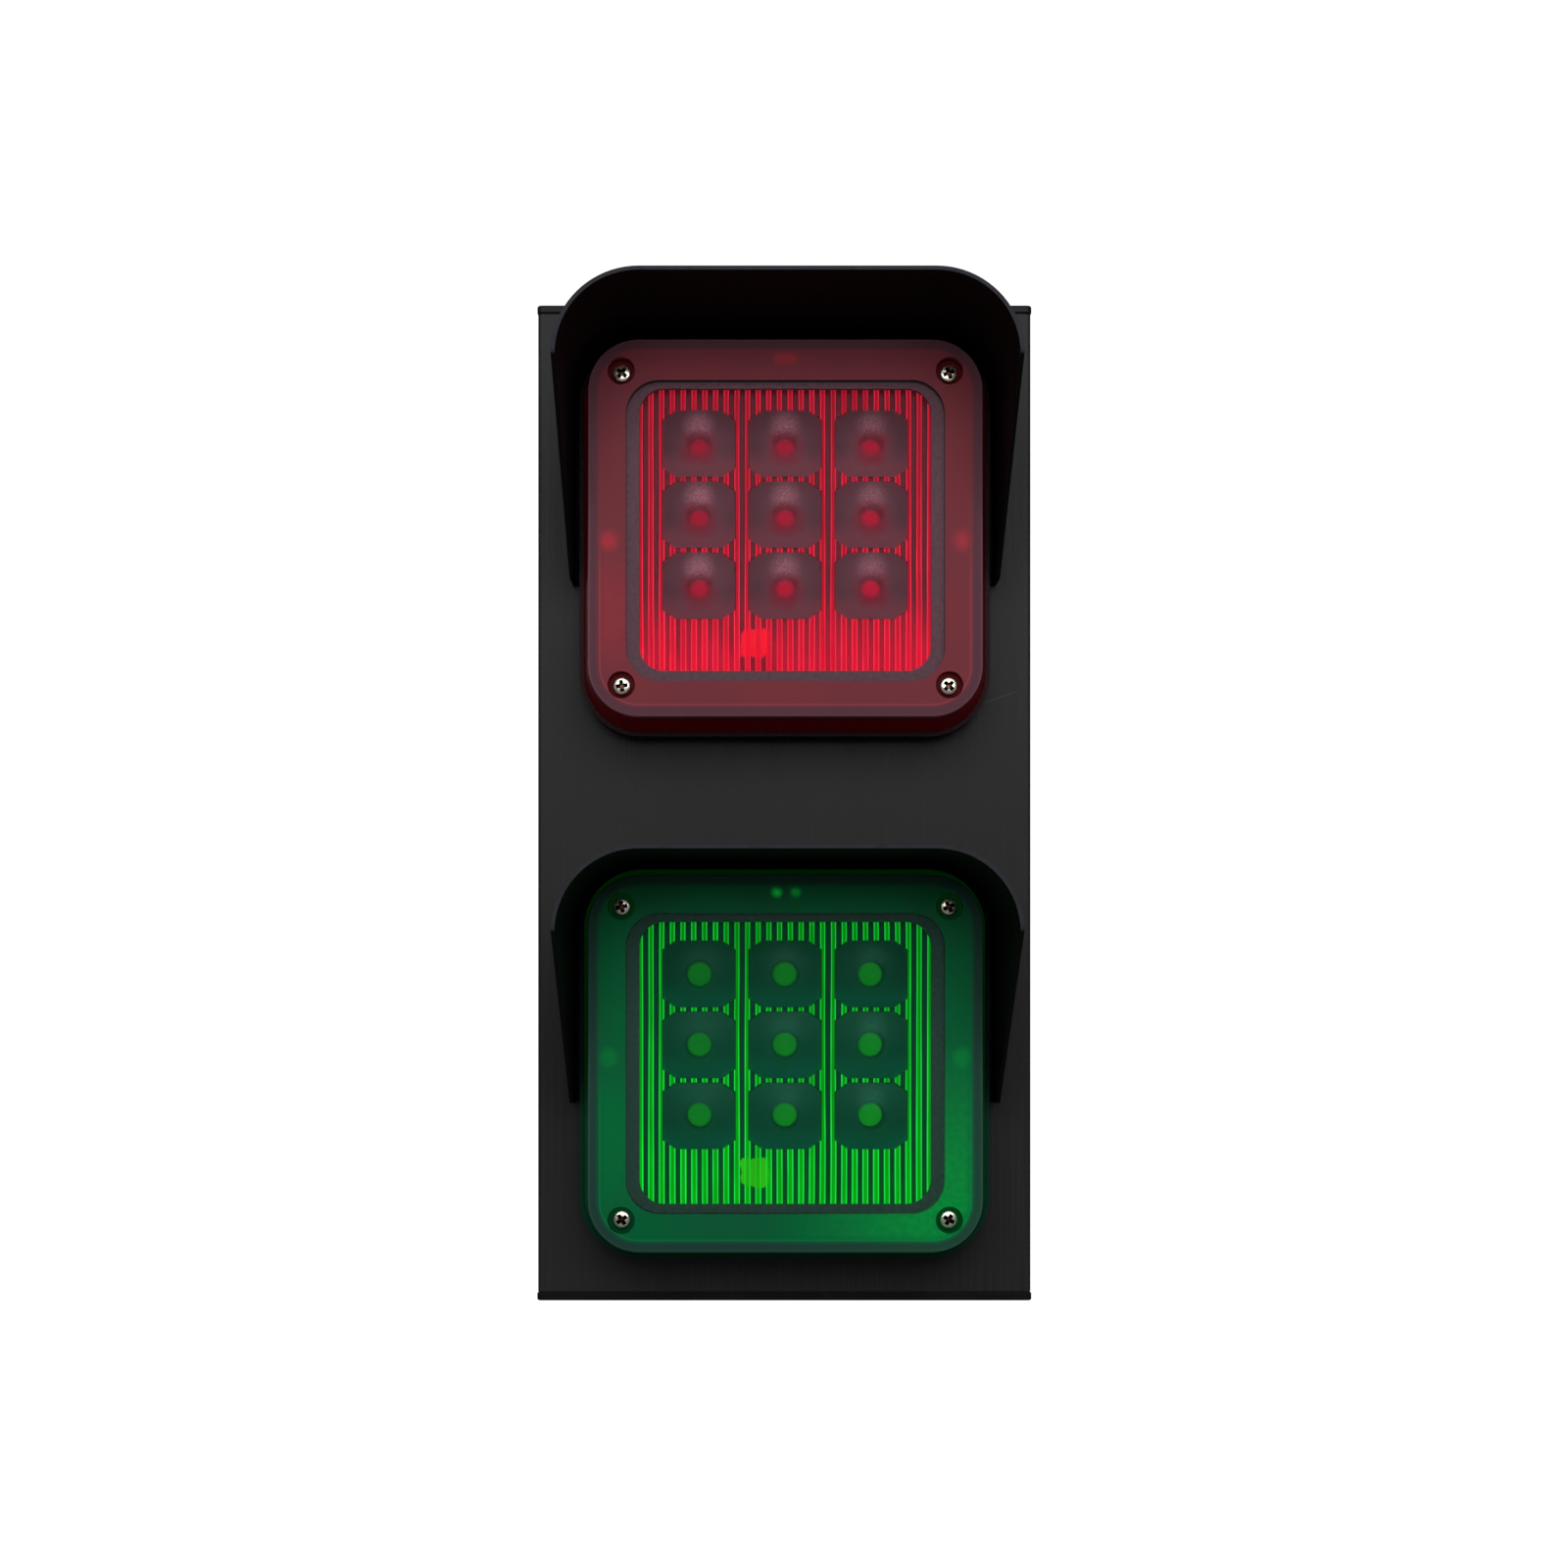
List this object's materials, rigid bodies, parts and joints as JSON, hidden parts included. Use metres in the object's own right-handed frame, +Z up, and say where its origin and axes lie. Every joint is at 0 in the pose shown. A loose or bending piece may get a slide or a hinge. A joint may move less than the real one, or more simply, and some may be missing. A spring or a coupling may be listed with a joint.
{
  "type": "pedestrian traffic light",
  "caption": "Black aluminium pedestrian traffic light with a red and a green square LED lens, sheet visors and a tilting wall bracket.",
  "frame": {"origin": "centre of the wall bracket's back face, on the wall", "axes": "+Z up, -Y towards the viewer out of the wall, +X to the viewer's right"},
  "size_m": [0.1606, 0.188, 0.323],
  "materials": {
    "black_anodised": "fine vertical grain, satin black anodising",
    "black_cap": "satin black",
    "black_rubber": "matt",
    "black_foam": "closed-cell foam, matt",
    "black_steel": "blackened, satin",
    "black_nylon": "fine moulded texture",
    "visor_paint": "matt black powder coat, worn at the rim",
    "grey_bezel": "fine moulded texture",
    "circuit_board": "solder mask",
    "led_circuit_board": "white solder mask",
    "transformer_steel": "varnished laminations",
    "capacitor_sleeve": "shrunk sleeve",
    "terminal_plastic": "moulded",
    "white_plastic": "moulded",
    "white_nylon": "turned",
    "nickel_steel": "nickel plate, slightly worn",
    "zinc_steel": "zinc plate",
    "bracket_paint": "satin black powder coat",
    "lead_sheath": "smooth sheath",
    "clear_silicone": "smooth",
    "red_cover": "tinted translucent polycarbonate, frosted inside",
    "green_cover": "tinted translucent polycarbonate, frosted inside",
    "red_optic": "clear acrylic ribs, lit",
    "green_optic": "clear acrylic ribs, lit",
    "red_lens": "clear acrylic, dished",
    "green_lens": "clear acrylic, dished",
    "red_led": "lit dome",
    "green_led": "lit dome"
  },
  "bodies": {
    "wall_bracket": {"wall_bracket": "bracket_paint", "pivot_bolts": "zinc_steel", "pivot_washers": "zinc_steel", "friction_washers": "white_nylon", "pivot_nuts": "zinc_steel"},
    "light": {"bottom_cap": "black_cap", "bottom_cap_gasket": "black_rubber", "bottom_cap_screws": "black_steel", "capacitors": "capacitor_sleeve", "driver_board": "circuit_board", "gland_body": "black_nylon", "gland_clamp_nut": "black_nylon", "gland_locknut": "black_nylon", "gland_seal": "black_rubber", "green_base": "black_nylon", "green_base_gasket": "black_foam", "green_base_screws": "nickel_steel", "green_board_plug": "white_plastic", "green_board_screws": "nickel_steel", "green_cover_screws": "nickel_steel", "green_cover_seal": "clear_silicone", "green_lead": "lead_sheath", "green_led_board": "led_circuit_board", "green_leds": "green_led", "green_lens_blocks": "green_lens", "green_lens_cover": "green_cover", "green_mask_frame": "grey_bezel", "green_ribbed_optic": "green_optic", "green_visor": "visor_paint", "housing_profile": "black_anodised", "lead_sockets": "white_plastic", "red_base": "black_nylon", "red_base_gasket": "black_foam", "red_base_screws": "nickel_steel", "red_board_plug": "white_plastic", "red_board_screws": "nickel_steel", "red_cover_screws": "nickel_steel", "red_cover_seal": "clear_silicone", "red_lead": "lead_sheath", "red_led_board": "led_circuit_board", "red_leds": "red_led", "red_lens_blocks": "red_lens", "red_lens_cover": "red_cover", "red_mask_frame": "grey_bezel", "red_ribbed_optic": "red_optic", "red_visor": "visor_paint", "terminal_block": "terminal_plastic", "terminal_screws": "nickel_steel", "tilt_yoke": "bracket_paint", "top_cap": "black_cap", "top_cap_gasket": "black_rubber", "top_cap_screws": "black_steel", "transformer": "transformer_steel", "yoke_nuts": "nickel_steel", "yoke_screws": "nickel_steel"}
  },
  "joints": [
    {"name": "tilt", "type": "hinge", "parent": "wall_bracket", "child": "light", "pos_m": [0, -0.034, 0], "axis": [1, 0, 0], "range_deg": [-10, 15]}
  ]
}
